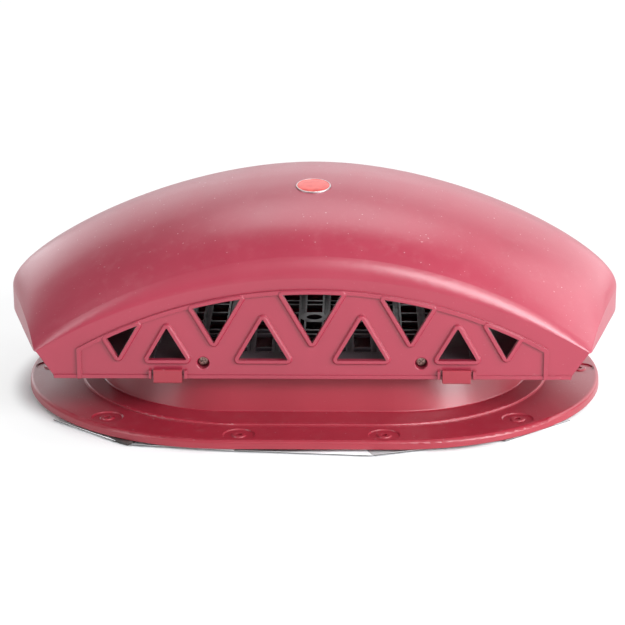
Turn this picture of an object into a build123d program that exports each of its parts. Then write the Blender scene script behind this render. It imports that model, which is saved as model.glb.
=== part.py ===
from build123d import *
import math
import os

# Roof vent with a wide domed hood over an obround duct collar.
# Millimetres. Z is up, the origin is on the surface that the vent lies on, under its centre.
# The front and back of the hood are alike, and so are its left and right ends.

# Base flange, obround in plan: straight sides of 2 * STRAIGHT_HALF with round ends
STRAIGHT_HALF = 57.0
FLANGE_R = 152.0
FLANGE_WALL = 3.0
RIM_HEIGHT = 6.0
RIM_ROUND = 2.6
RIM_DRAFT = 0.4
# Low step in the flange, an obround with a shorter straight side than the flange's
STEP_HALF = 47.0
STEP_R = 124.0
STEP_HEIGHT = 1.8
STEP_ROUND = 1.2
COLLAR_FOOT_R = 100.0
COLLAR_TOP_R = 91.5
COLLAR_HEIGHT = 37.2
COLLAR_WALL = 3.0
COLLAR_FOOT_ROUND = 1.2
SEAT_LIP = 4.0
SEAT_LIP_THICK = 2.5
SEAT_DEPTH = 5.0

# Roofing screw holes in the flange, each in a shallow washer seat
HOLE_LINE_R = 139.5
HOLE_D = 4.5
HOLE_FRONT_X = 49.5
HOLE_CORNER_R = 136.7
HOLE_CORNER_ANGLE = 51.3
HOLE_END_X = 195.0
WASHER_D = 22.0
WASHER_DEPTH = 0.9
WASHER_BOSS_D = 9.0
WASHER_DRAFT = 0.7

# Butyl seal under the flange and the release paper on it
PAPER = 0.3
SEAL_OUT_R = 146.0
SEAL_WIDTH = 19.0
SEAL_SHOWS = 2.4
SEAL_HOLE_D = 5.2
SEAL_END = (14.0, 17.0)
SEAL_END_AT = (-126.0, -129.0)
SEAL_END_TURN = -38.0
PAPER_WIDTH = 30.0
# Outer edge of each straight strip of paper, from its left end to its right end
PAPER_EDGES = {
    "left_end": ((-180.5, -90.5), (-133.5, -131.0)),
    "left": ((-123.0, -138.5), (-52.5, -151.0)),
    "middle": ((-52.0, -151.5), (42.0, -159.5)),
    "right": ((42.5, -159.5), (131.0, -131.0)),
    "right_end": ((133.5, -131.0), (180.5, -90.5)),
}
PAPER_SIDE_EDGE_X = 199.0
PAPER_SIDE_HALF = 50.0

# Hood: two upright end faces, front and back, and a dome between them.
# A size that changes along the dome has one value in the middle and one at the nose.
HOOD_HALF_DEPTH = 108.0
HOOD_WALL = 2.5
HOOD_BOTTOM_Z = 38.2
HOOD_RIM_Z = 57.0
HOOD_APEX_Z = 157.8
FOLD_TOP_Z = 115.4
NOSE_X = 191.7
VERTEX_X = 220.0
VERTEX_ROUND = 0.08
# The fold between dome and end face: its round, and how much of it draws in nose and shoulder
FOLD_ROUND = 5.0
FOLD_NOSE_SHARE = 0.3
FOLD_SHOULDER_SHARE = 0.8
BOTTOM_CORNER_X = 178.4
BOTTOM_CORNER_RUN = 0.7
BOTTOM_CORNER_RISE = 2.6
RIM_OVERLAP = 0.5
CROWN_ELLIPSE_SHARE = 0.99
# How much of the wall's thickness counts upwards where the shell slopes
SLOPE_SHARE = 0.6
# Where the dome leaves its upright side, and the power by which that height changes
SPRING_MID_Z = 73.0
SPRING_NOSE_Z = 57.7
SPRING_POWER = 4.0
# How far the crown stays level, as a share of the half width
CROWN_REACH_MID = 0.446
CROWN_REACH_NOSE = 0.3566
CROWN_POWER = 4.0
# How far the shoulder rises before it turns, and how far it leans in at the nose
SHOULDER_RISE_MID = 29.7
SHOULDER_RISE_NOSE = 37.9
SHOULDER_RISE_POWER = 1.8
SHOULDER_LEAN_NOSE = 56.2
SHOULDER_LEAN_POWER = 2.1
DOME_STATIONS = (0.0, 0.3, 0.55, 0.75, 0.9, 1.0)
FOLD_STATIONS = (1.0, 0.62, 0.34, 0.14, 0.03, 0.0)

# Pierced panel on each end face
ARCH_CENTRE_Z = -225.7
PANEL_ARCH_R = 328.4
PANEL_HALF = 162.2
BAND = 3.0
BAND_PROUD = 1.6
LIP_HEIGHT = 2.6
LIP_PROUD = 0.9
RIM_BAND = 3.2
# The raised rim of a triangle rises in two stages: how high, and how far its side leans
RIM_STAGES = ((1.3, 10.0), (0.9, 40.0))
CORNER_ROUND = 0.6
POINT_PITCH = 33.8
OUTER_SHIFT = 1.6
LOW_POINT_Z = 63.9
END_LOW_POINT_Z = 53.2
INNER_PEAK_Z = 81.9
OUTER_PEAK_Z = 75.4
PEAK_BASE_Z = 51.9

# Screw pockets through the end faces into posts on the collar
POCKET_X = 75.2
POCKET_Z = 49.2
POCKET_D = 8.4
POCKET_LIP = 0.5
POCKET_BOSS_D = 12.4
POCKET_DEPTH = 8.0
POCKET_FLOOR = 2.0
SCREW_D = 4.0
SCREW_HOLE_D = 4.5
SCREW_HEAD_D = 7.4
SCREW_HEAD_H = 2.4
SCREW_LENGTH = 12.0
SCREW_TIP_GAP = 0.6
SCREW_GAP = 0.1
POST_HALF = 7.0
POST_RISE = 7.0
POST_SET_IN = 2.972
POST_FOOT = 14.0
SEAT_GAP = 0.3

# Snap hooks on the collar that reach under the end face and up in front of it
HOOK_X = 99.5
HOOK_WIDTH = 19.6
HOOK_PLATE = 3.0
HOOK_GAP = 0.4
HOOK_TOP_Z = 45.6
HOOK_FLOOR_Z = 36.0
HOOK_FLOOR = 1.8
HOOK_ROUND = 0.6
EAR_WIDTH = 2.0
EAR_GAP = 1.4
EAR_TOP_Z = 44.6
EAR_BOTTOM_Z = 38.6
EAR_PROUD = 2.9

# Insect and leaf grille in the mouth of the collar
GRILLE_GAP = 0.4
GRILLE_FRAME = 4.0
GRILLE_HEIGHT = 4.6
RAIL_PITCH = 17.4
RAIL_COUNT = 10
RAIL_WIDTH = 5.8
RAIL_WALL = 1.5
RAIL_FLOOR = 1.4
RUNG_PITCH = 19.8
RUNG_START_Y = 10.0
RUNG_WIDTH = 2.6
RUNG_HEIGHT = 2.4
RUNG_SPLIT = 9.5
DECK_FROM_X = 86.5
DECK_THICK = 1.6
DECK_RIB_X = 110.0
DECK_RIB = 1.4
RING_OUT_D = 21.0
RING_HOLE_D = 11.5
# Wide flat brim that lies on the collar's rim inside the hood, notched round posts and bosses
BRIM_HALF_X = 165.0
BRIM_GAP = 3.0
BRIM_THICK = 1.6
BRIM_CORNER = 22.0
BRIM_RIB_RISE = 1.4
NOTCH_GAP = 1.0

# Round badge let into the crown of the hood
BADGE_D = 24.5
BADGE_THICK = 1.6
BADGE_SUNK = 1.0
BADGE_GAP = 0.15
BADGE_Y = -32.6

# Levels that follow from the sizes above
FLOOR_Z = 2 * PAPER
SEAL_BOTTOM_Z = FLOOR_Z
RIM_BOTTOM_Z = SEAL_BOTTOM_Z + SEAL_SHOWS
FLANGE_TOP_Z = RIM_BOTTOM_Z + RIM_HEIGHT
LEDGE_Z = FLANGE_TOP_Z + STEP_HEIGHT
COLLAR_TOP_Z = LEDGE_Z + COLLAR_HEIGHT
SEAT_Z = COLLAR_TOP_Z - SEAT_DEPTH
TAN_30 = math.tan(math.radians(30))
# The plane in which a section around the duct is drawn: x runs outwards, y runs up
OUTWARDS = Plane(origin=(0, 0, 0), x_dir=(0, -1, 0), z_dir=(-1, 0, 0))


def closed(points, radii=0.0):
    """A face inside straight runs between points, with its corners rounded by radii."""
    return make_face(FilletPolyline(*points, radius=radii, close=True))


def all_four(part):
    """The part with its mirror images to the left, to the back and to both."""
    pair = part + mirror(part, Plane.YZ)
    return pair + mirror(pair, Plane.XZ)


def front_and_back(part):
    """The part and its mirror image at the back."""
    return part + mirror(part, Plane.XZ)


def around_duct(section):
    """Carries a section around the obround: along both straight sides and round both ends."""
    side = extrude(OUTWARDS * section, amount=STRAIGHT_HALF, both=True)
    turn_axis = Axis((STRAIGHT_HALF, 0, 0), (0, 0, 1))
    end = revolve(Pos(STRAIGHT_HALF, 0, 0) * (OUTWARDS * section), turn_axis, 180)
    return front_and_back(side) + end + mirror(end, Plane.YZ)


def obround(radius, bottom_z, height, half=STRAIGHT_HALF):
    """A solid obround slab with round ends of the given radius."""
    outline = SlotCenterToCenter(2 * half, 2 * radius)
    return Pos(0, 0, bottom_z) * extrude(outline, amount=height)


def collar_radius(z):
    """Outer radius of the tapered collar wall at height z."""
    share = (z - LEDGE_Z) / COLLAR_HEIGHT
    return COLLAR_FOOT_R + (COLLAR_TOP_R - COLLAR_FOOT_R) * share


# Base: rim, flange, step, ledge and tapered collar are one moulding of even wall

def base_shell():
    """The moulded wall of the base, from the rolled rim to the seat of the grille."""
    under_flange = FLANGE_TOP_Z - FLANGE_WALL
    ledge_r = COLLAR_FOOT_R + 2 * COLLAR_FOOT_ROUND
    outer = [
        (FLANGE_R - FLANGE_WALL, RIM_BOTTOM_Z),
        (FLANGE_R, RIM_BOTTOM_Z),
        (FLANGE_R - RIM_DRAFT, FLANGE_TOP_Z),
        (ledge_r, FLANGE_TOP_Z),
        (ledge_r, LEDGE_Z),
        (COLLAR_FOOT_R, LEDGE_Z),
        (COLLAR_TOP_R, COLLAR_TOP_Z),
    ]
    inner = [
        (COLLAR_TOP_R - COLLAR_WALL, COLLAR_TOP_Z),
        (collar_radius(SEAT_Z) - COLLAR_WALL, SEAT_Z),
        (COLLAR_TOP_R - COLLAR_WALL - SEAT_LIP, SEAT_Z),
        (COLLAR_TOP_R - COLLAR_WALL - SEAT_LIP, SEAT_Z - SEAT_LIP_THICK),
        (collar_radius(SEAT_Z - 2 * SEAT_LIP) - COLLAR_WALL, SEAT_Z - 2 * SEAT_LIP),
        (COLLAR_FOOT_R - COLLAR_WALL, LEDGE_Z - FLANGE_WALL),
        (COLLAR_FOOT_R - COLLAR_WALL, under_flange),
        (FLANGE_R - FLANGE_WALL, under_flange),
    ]
    radii = [0, 0, RIM_ROUND, 0, 0, COLLAR_FOOT_ROUND, 0] + [0] * len(inner)
    return around_duct(closed(outer + inner, radii))


def low_step():
    """The raised ledge round the collar's foot, and the hollow that is under it."""
    ledge = obround(STEP_R, FLANGE_TOP_Z - FLANGE_WALL, FLANGE_WALL + STEP_HEIGHT, STEP_HALF)
    ledge = fillet(ledge.faces().sort_by(Axis.Z)[-1].edges(), STEP_ROUND)
    ledge -= obround(COLLAR_FOOT_R, 0, COLLAR_HEIGHT)
    hollow = obround(STEP_R - FLANGE_WALL, 0, LEDGE_Z - FLANGE_WALL, STEP_HALF)
    return ledge, hollow


def washer_seat():
    """The cut for one roofing screw: a shallow ring round a boss, with a hole through."""
    seat_z = FLANGE_TOP_Z - WASHER_DEPTH
    wide = Cone(WASHER_D / 2 - WASHER_DRAFT, WASHER_D / 2, WASHER_DEPTH,
                align=(Align.CENTER, Align.CENTER, Align.MIN))
    boss = Cone(WASHER_BOSS_D / 2 + WASHER_DRAFT, WASHER_BOSS_D / 2, WASHER_DEPTH,
                align=(Align.CENTER, Align.CENTER, Align.MIN))
    hole = Cylinder(HOLE_D / 2, 4 * RIM_HEIGHT)
    return Pos(0, 0, seat_z) * (wide - boss + hole)


def hole_places():
    """Centres of the roofing screw holes, on a line set in from the rim."""
    angle = math.radians(HOLE_CORNER_ANGLE)
    corner_x = STRAIGHT_HALF + HOLE_CORNER_R * math.cos(angle)
    corner_y = HOLE_CORNER_R * math.sin(angle)
    places = [(sx * HOLE_END_X, 0) for sx in (-1, 1)]
    for sx in (-1, 1):
        for sy in (-1, 1):
            places.append((sx * HOLE_FRONT_X, sy * HOLE_LINE_R))
            places.append((sx * corner_x, sy * corner_y))
    return places


def duct_edge(x, radius):
    """How far from the middle plane an obround of this radius reaches at x, on its round end."""
    return math.sqrt(radius ** 2 - (x - STRAIGHT_HALF) ** 2)


def hook():
    """One snap hook at the right of the front: an arm under the end face and an upright plate."""
    plate_in = -HOOD_HALF_DEPTH - LIP_PROUD - HOOK_GAP
    plate_out = plate_in - HOOK_PLATE
    root = -duct_edge(HOOK_X + HOOK_WIDTH / 2, collar_radius(HOOK_FLOOR_Z) - COLLAR_WALL)
    section = closed(
        [
            (-plate_out, HOOK_FLOOR_Z),
            (-plate_out, HOOK_TOP_Z),
            (-plate_in, HOOK_TOP_Z),
            (-plate_in, HOOK_FLOOR_Z + HOOK_FLOOR),
            (-root, HOOK_FLOOR_Z + HOOK_FLOOR),
            (-root, HOOK_FLOOR_Z),
        ],
        [HOOK_ROUND, HOOK_ROUND, 0, 0, 0, 0],
    )
    arm = extrude(OUTWARDS * section, amount=HOOK_WIDTH / 2, both=True)
    return Pos(HOOK_X, 0, 0) * arm


def post_back():
    """How far from the middle plane the back of a post is, set in from the collar's rim."""
    return duct_edge(POCKET_X, COLLAR_TOP_R) - POST_SET_IN


def post():
    """One post on the collar, which the hood's pocket boss seats against and its screw enters."""
    face_y = -HOOD_HALF_DEPTH + POCKET_DEPTH + POCKET_FLOOR + SEAT_GAP
    top_z = POCKET_Z + POST_RISE
    foot_z = top_z - POST_FOOT
    back_y = -post_back()
    section = closed(
        [
            (-face_y, top_z),
            (-face_y, foot_z),
            (-back_y, foot_z + face_y - back_y),
            (-back_y, top_z),
        ]
    )
    body = extrude(OUTWARDS * section, amount=POST_HALF, both=True)
    reach = SCREW_LENGTH - POCKET_FLOOR - SEAT_GAP + SCREW_TIP_GAP
    bore = Pos(0, face_y, POCKET_Z) * Rot(-90, 0, 0) * Cylinder(
        SCREW_D / 2 + SCREW_GAP, reach, align=(Align.CENTER, Align.CENTER, Align.MIN))
    return Pos(POCKET_X, 0, 0) * body, Pos(POCKET_X, 0, 0) * bore


def base_flange():
    """The whole base moulding, with its hooks, posts and washer seats."""
    post_body, post_bore = post()
    ledge, hollow = low_step()
    mouth = obround(COLLAR_TOP_R - COLLAR_WALL, SEAT_Z, 2 * COLLAR_HEIGHT)
    throat = obround(collar_radius(SEAT_Z) - COLLAR_WALL / 2, 0, SEAT_Z)
    base = base_shell() + ledge - hollow
    base += all_four(hook() + post_body - mouth - throat)
    base -= all_four(post_bore)
    for x, y in hole_places():
        base -= Pos(x, y, 0) * washer_seat()
    return base


# Hood: sections across the dome are arches, lofted from front to back, with a rounded fold

def crown_height(share, inset=0.0):
    """Height of the crown, moved inwards by inset, at a share of the way to an end face."""
    steep = math.sqrt(1 - CROWN_ELLIPSE_SHARE ** 2)
    rise = math.sqrt(1 - (CROWN_ELLIPSE_SHARE * share) ** 2) - steep
    fold_z = FOLD_TOP_Z - SLOPE_SHARE * inset
    return fold_z + (HOOD_APEX_Z - inset - fold_z) * rise / (1 - steep)


def half_width_at(share):
    """Half the width of the hood: straight to the nose in plan, and rounded at its vertex."""
    straight = math.hypot(share, VERTEX_ROUND) - VERTEX_ROUND
    straight /= math.hypot(1, VERTEX_ROUND) - VERTEX_ROUND
    return VERTEX_X + (NOSE_X - VERTEX_X) * straight


def towards_nose(middle, nose, share, power):
    """A size that changes from its value in the middle to its value at the nose."""
    return middle + (nose - middle) * share ** power


def flip(point):
    """The point on the other side of the middle plane."""
    return (-point[0], point[1])


def dome_section(y, half_depth, inset, floor_z, drawn_in):
    """The arched section of the dome at y, moved inwards by inset and drawn in at the fold."""
    share = min(abs(y) / half_depth, 1.0)
    half_width = half_width_at(share) - inset - FOLD_NOSE_SHARE * drawn_in
    crown_z = crown_height(share, inset) - drawn_in
    spring_z = towards_nose(SPRING_MID_Z, SPRING_NOSE_Z, share, SPRING_POWER)
    spring_z -= SLOPE_SHARE * inset
    reach = towards_nose(CROWN_REACH_MID, CROWN_REACH_NOSE, share, CROWN_POWER) * half_width
    rise = towards_nose(SHOULDER_RISE_MID, SHOULDER_RISE_NOSE, share, SHOULDER_RISE_POWER)
    rise -= FOLD_SHOULDER_SHARE * drawn_in
    lean = towards_nose(0.0, SHOULDER_LEAN_NOSE, share, SHOULDER_LEAN_POWER)
    spring = (half_width, spring_z)
    poles = [spring, (half_width - lean, spring_z + rise), (reach, crown_z), (0, crown_z)]
    foot = (half_width, floor_z)
    outline = (
        Line(foot, spring)
        + Bezier(*poles)
        + Bezier(*(flip(pole) for pole in reversed(poles)))
        + Line(flip(spring), flip(foot))
        + Line(flip(foot), foot)
    )
    return Plane(origin=(0, y, 0), x_dir=(1, 0, 0), z_dir=(0, -1, 0)) * make_face(outline)


def dome(inset, floor_z):
    """The solid under the dome, moved inwards by inset, down to floor_z."""
    half_depth = HOOD_HALF_DEPTH - inset
    fold_r = FOLD_ROUND - SLOPE_SHARE * inset
    body_half = half_depth - fold_r
    front = [-share * body_half for share in reversed(DOME_STATIONS)]
    back = [share * body_half for share in DOME_STATIONS[1:]]
    body = loft([dome_section(y, half_depth, inset, floor_z, 0.0) for y in front + back])
    folded = []
    for share in FOLD_STATIONS:
        drawn_in = fold_r - math.sqrt(fold_r ** 2 - (fold_r * (1 - share)) ** 2)
        y = share * fold_r - half_depth
        folded.append(dome_section(y, half_depth, inset, floor_z, drawn_in))
    return body + front_and_back(loft(folded))


def upright(face, back_y, out_y, draft=0.0):
    """A face drawn in X and Z, made solid from back_y out to out_y at the front."""
    plane = Plane(origin=(0, back_y, 0), x_dir=(1, 0, 0), z_dir=(0, -1, 0))
    return extrude(plane * face, amount=back_y - out_y, taper=draft)


def arch_disc(radius):
    """The disc whose top edge is the panel's arch of the given radius."""
    return Pos(0, ARCH_CENTRE_Z) * Circle(radius)


def panel_area(inset=0.0):
    """The panel inside its raised band, drawn in X and Z."""
    half = PANEL_HALF - inset
    tall = PANEL_ARCH_R + ARCH_CENTRE_Z - HOOD_BOTTOM_Z
    plate = Pos(0, HOOD_BOTTOM_Z + tall / 2) * Rectangle(2 * half, tall)
    return plate & arch_disc(PANEL_ARCH_R - inset)


def peak(x, top_z):
    """A triangle that stands on its base, its peak at top_z."""
    half = (top_z - PEAK_BASE_Z) * TAN_30
    return closed([(x - half, PEAK_BASE_Z), (x + half, PEAK_BASE_Z), (x, top_z)], CORNER_ROUND)


def valley(x, low_z):
    """A triangle that stands on its point, cut off by the arch of the panel."""
    high = PANEL_ARCH_R + ARCH_CENTRE_Z
    half = (high - low_z) * TAN_30
    point = closed([(x - half, high), (x, low_z), (x + half, high)], [0, CORNER_ROUND, 0])
    return point & arch_disc(PANEL_ARCH_R - BAND)


def vent_openings():
    """The row of nine triangles, from the middle out to both ends."""
    openings = [valley(0, LOW_POINT_Z)]
    for sx in (-1, 1):
        openings.append(peak(sx * POINT_PITCH, INNER_PEAK_Z))
        openings.append(valley(sx * 2 * POINT_PITCH, LOW_POINT_Z))
        openings.append(peak(sx * (3 * POINT_PITCH - OUTER_SHIFT), OUTER_PEAK_Z))
        openings.append(valley(sx * (4 * POINT_PITCH - OUTER_SHIFT), END_LOW_POINT_Z))
    return openings


def raised_rim(opening):
    """The raised rim round one opening, its outer side leaning in more towards the top."""
    rim = offset(opening, RIM_BAND, kind=Kind.ARC) & panel_area()
    level = -HOOD_HALF_DEPTH
    solid = upright(rim, level + HOOD_WALL / 2, level)
    width = RIM_BAND
    for rise, draft in RIM_STAGES:
        rim = offset(opening, width, kind=Kind.ARC) & panel_area()
        solid += upright(rim, level, level - rise, draft)
        level -= rise
        width -= rise * math.tan(math.radians(draft))
    return solid


def end_face():
    """The front end face with its raised bands, openings, lip and pocket bosses."""
    outer_y = -HOOD_HALF_DEPTH
    inner_y = outer_y + HOOD_WALL
    flat_x = NOSE_X - FOLD_NOSE_SHARE * FOLD_ROUND
    right_edge = [
        (BOTTOM_CORNER_X, HOOD_BOTTOM_Z),
        (BOTTOM_CORNER_X + BOTTOM_CORNER_RUN, HOOD_BOTTOM_Z + BOTTOM_CORNER_RISE),
        (flat_x, HOOD_RIM_Z),
        (flat_x, HOOD_RIM_Z + RIM_OVERLAP),
    ]
    apron = closed(right_edge + [flip(point) for point in reversed(right_edge)])
    face = upright(apron, inner_y, outer_y)
    band = panel_area() - panel_area(BAND)
    face += upright(band, inner_y, outer_y - BAND_PROUD)
    lip = Pos(0, HOOD_BOTTOM_Z + LIP_HEIGHT / 2) * Rectangle(2 * BOTTOM_CORNER_X, LIP_HEIGHT)
    face += upright(lip, inner_y, outer_y - LIP_PROUD)
    for opening in vent_openings():
        face += raised_rim(opening)
    boss = Pos(POCKET_X, outer_y, POCKET_Z) * Rot(-90, 0, 0) * Cylinder(
        POCKET_BOSS_D / 2, POCKET_DEPTH + POCKET_FLOOR,
        align=(Align.CENTER, Align.CENTER, Align.MIN))
    ear = Pos(0, (EAR_TOP_Z + EAR_BOTTOM_Z) / 2) * Rectangle(EAR_WIDTH, EAR_TOP_Z - EAR_BOTTOM_Z)
    ear_x = HOOK_WIDTH / 2 + EAR_GAP + EAR_WIDTH / 2
    for sx in (-1, 1):
        ear_place = Pos(HOOK_X + sx * ear_x, 0) * ear
        face += mirror(upright(ear_place, inner_y, outer_y - EAR_PROUD), Plane.YZ)
        face += upright(ear_place, inner_y, outer_y - EAR_PROUD)
    return face + boss + mirror(boss, Plane.YZ)


def end_face_cuts():
    """What is cut through the front end face: the openings and the screw pockets."""
    outer_y = -HOOD_HALF_DEPTH
    deep = outer_y + 2 * HOOD_WALL
    proud = outer_y - 2 * HOOD_WALL
    cuts = [upright(opening, deep, proud) for opening in vent_openings()]
    inwards = Pos(0, outer_y, 0) * Rot(-90, 0, 0)
    flat = (Align.CENTER, Align.CENTER, Align.MIN)
    pocket = inwards * Cylinder(POCKET_D / 2, POCKET_DEPTH, align=flat)
    pocket += inwards * Cone(POCKET_D / 2 + POCKET_LIP, POCKET_D / 2, POCKET_LIP, align=flat)
    hole = Pos(0, outer_y, 0) * Rot(90, 0, 0) * Cylinder(SCREW_HOLE_D / 2, 4 * POCKET_DEPTH)
    for sx in (-1, 1):
        cuts.append(Pos(sx * POCKET_X, 0, POCKET_Z) * (pocket + hole))
    return cuts


def badge_seat_plane():
    """The plane that touches the hood's crown at the badge."""
    step = 0.5
    ahead = crown_height(abs(BADGE_Y - step) / HOOD_HALF_DEPTH)
    behind = crown_height(abs(BADGE_Y + step) / HOOD_HALF_DEPTH)
    here = crown_height(abs(BADGE_Y) / HOOD_HALF_DEPTH)
    slope = (behind - ahead) / (2 * step)
    return Plane(origin=(0, BADGE_Y, here), x_dir=(1, 0, 0), z_dir=(0, -slope, 1))


def hood():
    """The whole hood moulding."""
    shell = dome(0.0, HOOD_RIM_Z) - dome(HOOD_WALL, HOOD_BOTTOM_Z)
    face = end_face()
    shell += front_and_back(face)
    for cut in end_face_cuts():
        shell -= front_and_back(cut)
    recess = Pos(0, 0, -BADGE_SUNK) * Cylinder(
        BADGE_D / 2 + BADGE_GAP, 2 * BADGE_THICK, align=(Align.CENTER, Align.CENTER, Align.MIN))
    return shell - badge_seat_plane() * recess


# Grille: open channels from front to back, rungs between them and a ring in the middle

def brim():
    """The wide flat brim of the grille, which lies on the collar's rim."""
    half_y = HOOD_HALF_DEPTH - HOOD_WALL - BRIM_GAP
    plate = extrude(RectangleRounded(2 * BRIM_HALF_X, 2 * half_y, BRIM_CORNER), amount=BRIM_THICK)
    flat = (Align.CENTER, Align.MIN, Align.CENTER)
    notch = Pos(POCKET_X, post_back() - NOTCH_GAP, 0) * Box(
        2 * (POST_HALF + NOTCH_GAP), half_y, 4 * BRIM_THICK, align=flat)
    plate -= all_four(notch)
    for sx in (-1, 1):
        plate += Pos(sx * DECK_RIB_X, 0, 0) * Box(
            DECK_RIB, 2 * (half_y - BRIM_THICK), BRIM_THICK + BRIM_RIB_RISE,
            align=(Align.CENTER, Align.CENTER, Align.MIN))
    return Pos(0, 0, COLLAR_TOP_Z) * plate


def grille():
    """The lattice that drops into the mouth of the collar and rests on its seat."""
    out_r = COLLAR_TOP_R - COLLAR_WALL - GRILLE_GAP
    tall = COLLAR_TOP_Z + BRIM_THICK - SEAT_Z
    frame = obround(out_r, SEAT_Z, tall) + brim()
    frame -= obround(out_r - GRILLE_FRAME, SEAT_Z - 1, 2 * tall)
    reach = obround(out_r - GRILLE_FRAME / 2, SEAT_Z, GRILLE_HEIGHT)
    flat = (Align.CENTER, Align.CENTER, Align.MIN)
    channel = Box(RAIL_WIDTH, 2 * out_r, GRILLE_HEIGHT, align=flat)
    rails = Part()
    first = -(RAIL_COUNT - 1) / 2 * RAIL_PITCH
    for index in range(RAIL_COUNT):
        rails += Pos(first + index * RAIL_PITCH, 0, SEAT_Z) * channel
    second = RUNG_START_Y + RUNG_PITCH
    rows = (RUNG_START_Y, second, second + RUNG_SPLIT, second + 2 * RUNG_PITCH)
    rungs = Part()
    for row in rows:
        for sy in (-1, 1):
            rungs += Pos(0, sy * row, SEAT_Z + GRILLE_HEIGHT - RUNG_HEIGHT) * Box(
                2 * DECK_FROM_X, RUNG_WIDTH, RUNG_HEIGHT, align=flat)
    troughs = Part()
    for index in range(RAIL_COUNT):
        troughs += Pos(first + index * RAIL_PITCH, 0, SEAT_Z + RAIL_FLOOR) * Box(
            RAIL_WIDTH - 2 * RAIL_WALL, 2 * (out_r - GRILLE_FRAME), GRILLE_HEIGHT, align=flat)
    middle_room = Pos(0, 0, SEAT_Z - 1) * Box(
        2 * DECK_FROM_X, 2 * out_r, 2 * GRILLE_HEIGHT, align=flat)
    deck = obround(out_r - GRILLE_FRAME / 2, SEAT_Z, DECK_THICK) - middle_room
    ribs = Part()
    for sx in (-1, 1):
        for rib_x in (DECK_FROM_X + DECK_RIB / 2, DECK_RIB_X):
            ribs += Pos(sx * rib_x, 0, SEAT_Z) * Box(DECK_RIB, 2 * out_r, GRILLE_HEIGHT, align=flat)
    lattice = ((rails + rungs - troughs + ribs) & reach) + deck
    ring = Pos(0, 0, SEAT_Z) * Cylinder(RING_OUT_D / 2, GRILLE_HEIGHT, align=flat)
    eye = Cylinder(RING_HOLE_D / 2, 4 * COLLAR_HEIGHT)
    return frame + lattice + ring - eye


# Seal, paper, badge and screws

def seal_ring():
    """The butyl seal in the channel under the flange, with one lapped end showing."""
    tall = FLANGE_TOP_Z - FLANGE_WALL - SEAL_BOTTOM_Z
    ring = obround(SEAL_OUT_R, SEAL_BOTTOM_Z, tall)
    ring -= obround(SEAL_OUT_R - SEAL_WIDTH, SEAL_BOTTOM_Z - 1, 2 * tall)
    end = Pos(*SEAL_END_AT, SEAL_BOTTOM_Z) * Rot(0, 0, SEAL_END_TURN) * Box(
        SEAL_END[0], SEAL_END[1], SEAL_SHOWS - SEAT_GAP, align=(Align.CENTER, Align.CENTER, Align.MIN))
    return pierced(ring + end)


def pierced(piece):
    """The piece with a clearance hole punched through it under each roofing screw hole."""
    punch = Cylinder(SEAL_HOLE_D / 2, 4 * FLANGE_TOP_Z)
    box = piece.bounding_box()
    for x, y in hole_places():
        if box.min.X < x < box.max.X and box.min.Y < y < box.max.Y:
            piece -= Pos(x, y, 0) * punch
    return piece


def paper_strip(start, finish, level):
    """A straight strip of release paper, its outer edge from start to finish."""
    run_x = finish[0] - start[0]
    run_y = finish[1] - start[1]
    length = math.hypot(run_x, run_y)
    turn = math.degrees(math.atan2(run_y, run_x))
    strip = Box(length, PAPER_WIDTH, PAPER, align=(Align.MIN, Align.MIN, Align.MIN))
    return pierced(Pos(start[0], start[1], level * PAPER) * Rot(0, 0, turn) * strip)


def release_papers():
    """All strips by name: those of the front, and the same turned half round for the back."""
    strips = {}
    half_turn = Rot(0, 0, 180)
    for index, (place, (start, finish)) in enumerate(PAPER_EDGES.items()):
        strip = paper_strip(start, finish, index % 2)
        strips["release_paper_front_" + place] = strip
        strips["release_paper_back_" + place] = half_turn * strip
    side = paper_strip(
        (PAPER_SIDE_EDGE_X, -PAPER_SIDE_HALF), (PAPER_SIDE_EDGE_X, PAPER_SIDE_HALF), 1)
    strips["release_paper_right_side"] = side
    strips["release_paper_left_side"] = half_turn * side
    return strips


def badge():
    """A blank round badge, seated in its recess in the crown."""
    plate = Cylinder(BADGE_D / 2, BADGE_THICK, align=(Align.CENTER, Align.CENTER, Align.MIN))
    return badge_seat_plane() * (Pos(0, 0, -BADGE_SUNK) * plate)


def hood_screws():
    """Four screws, each with its head on the floor of a pocket and its shank in a post."""
    head = Cylinder(SCREW_HEAD_D / 2, SCREW_HEAD_H, align=(Align.CENTER, Align.CENTER, Align.MIN))
    shank = Cylinder(SCREW_D / 2, SCREW_LENGTH, align=(Align.CENTER, Align.CENTER, Align.MAX))
    floor_y = -HOOD_HALF_DEPTH + POCKET_DEPTH
    screw = Pos(POCKET_X, floor_y, POCKET_Z) * Rot(90, 0, 0) * (head + shank)
    pair = [screw, mirror(screw, Plane.YZ)]
    return Compound(children=[*pair, *(mirror(one, Plane.XZ) for one in pair)])


def main():
    """Builds every piece and writes one file for each."""
    os.makedirs("parts", exist_ok=True)
    pieces = {
        "base_flange": base_flange(),
        "hood": hood(),
        "grille": grille(),
        "butyl_seal": seal_ring(),
        "badge": badge(),
        "hood_screws": hood_screws(),
    }
    pieces.update(release_papers())
    for name, piece in pieces.items():
        export_step(piece, "parts/" + name + ".step")


main()
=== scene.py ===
import logging
import math
from collections.abc import Callable
from dataclasses import dataclass, field
from enum import Enum

import bmesh
import bpy
from mathutils import Matrix, Vector


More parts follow.
